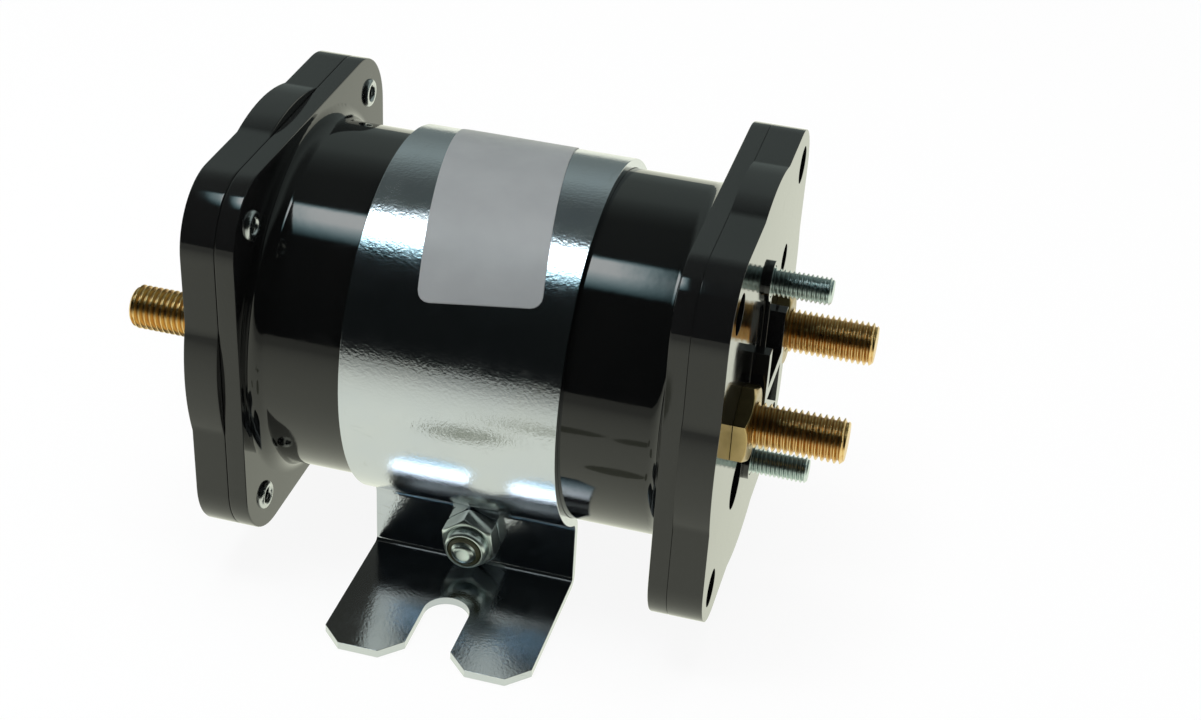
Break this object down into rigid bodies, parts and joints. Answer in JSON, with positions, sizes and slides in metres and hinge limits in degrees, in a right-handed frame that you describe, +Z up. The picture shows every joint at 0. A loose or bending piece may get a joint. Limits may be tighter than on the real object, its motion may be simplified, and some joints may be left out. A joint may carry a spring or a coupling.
{
  "type": "golf cart solenoid",
  "caption": "Double-throw DC contactor: square-flanged moulded tube with sprung plunger contacts, copper power studs at both ends, coil studs at one and a zinc strap with slotted feet.",
  "frame": {"origin": "on the mounting plane under the feet, midway between them and midway between the tips of the power studs, straight below the coil's axis", "axes": "+X along the coil's axis towards the end that also has the coil studs, +Y across the body towards the head of the clamp bolt, +Z up from the feet"},
  "size_m": [0.1298, 0.0912, 0.081],
  "materials": {
    "black_moulding": "glossy black thermoset moulding with faint flow marks",
    "eyelet_metal": "nickel-plated tubular rivets",
    "stud_copper": "bare copper alloy with rolled threads",
    "nut_brass": "brass, slightly tarnished",
    "zinc_hardware": "clear blue zinc plate",
    "zinc_strap": "bright blue zinc plate with light handling marks",
    "label_film": "plain satin film, blank",
    "soft_iron": "machined soft iron",
    "bobbin_nylon": "moulded nylon",
    "winding_copper": "enamelled copper wire, layer wound",
    "sleeve_brass": "drawn brass tube",
    "rod_steel": "ground stainless steel",
    "spring_steel": "plated spring wire",
    "contact_copper": "bare copper bar",
    "bushing_phenolic": "brown phenolic"
  },
  "bodies": {
    "housing": {"body_shell": "black_moulding", "left_cap": "black_moulding", "right_cap": "black_moulding", "left_rivets": "eyelet_metal", "right_rivets": "eyelet_metal", "left_power_studs": "stud_copper", "right_power_studs": "stud_copper", "left_stud_nuts": "nut_brass", "right_stud_nuts": "nut_brass", "coil_studs": "zinc_hardware", "coil_stud_nuts": "zinc_hardware", "strap_bracket": "zinc_strap", "clamp_bolt": "zinc_hardware", "clamp_nut": "zinc_hardware", "label": "label_film", "steel_can": "soft_iron", "left_pole_plate": "soft_iron", "right_pole_plate": "soft_iron", "coil_bobbin": "bobbin_nylon", "coil_winding": "winding_copper", "coil_leads": "winding_copper", "guide_sleeve": "sleeve_brass", "core_stop": "soft_iron", "return_spring": "spring_steel"},
    "plunger_set": {"plunger": "soft_iron", "plunger_rod": "rod_steel", "spring_seats": "rod_steel", "rod_clips": "spring_steel", "left_contact_spring": "spring_steel", "right_contact_spring": "spring_steel"},
    "left_bridge": {"left_contact_bridge": "contact_copper", "left_bridge_bushing": "bushing_phenolic"},
    "right_bridge": {"right_contact_bridge": "contact_copper", "right_bridge_bushing": "bushing_phenolic"}
  },
  "joints": [
    {"name": "plunger_slide", "type": "slide", "parent": "housing", "child": "plunger_set", "axis": [1, 0, 0], "range_m": [0, 0.0036], "stiffness_N_per_m": 1800, "springref_m": -0.004, "deforming": ["return_spring"]},
    {"name": "left_bridge_slide", "type": "slide", "parent": "plunger_set", "child": "left_bridge", "axis": [1, 0, 0], "range_m": [-0.00101, 0], "deforming": ["left_contact_spring"]},
    {"name": "right_bridge_slide", "type": "slide", "parent": "plunger_set", "child": "right_bridge", "axis": [1, 0, 0], "range_m": [-0.00101, 0], "deforming": ["right_contact_spring"]}
  ],
  "couplings": [
    {"joint": "left_bridge_slide", "follows": "plunger_slide", "ratio": -0.28},
    {"joint": "right_bridge_slide", "follows": "plunger_slide", "ratio": -0.28}
  ]
}
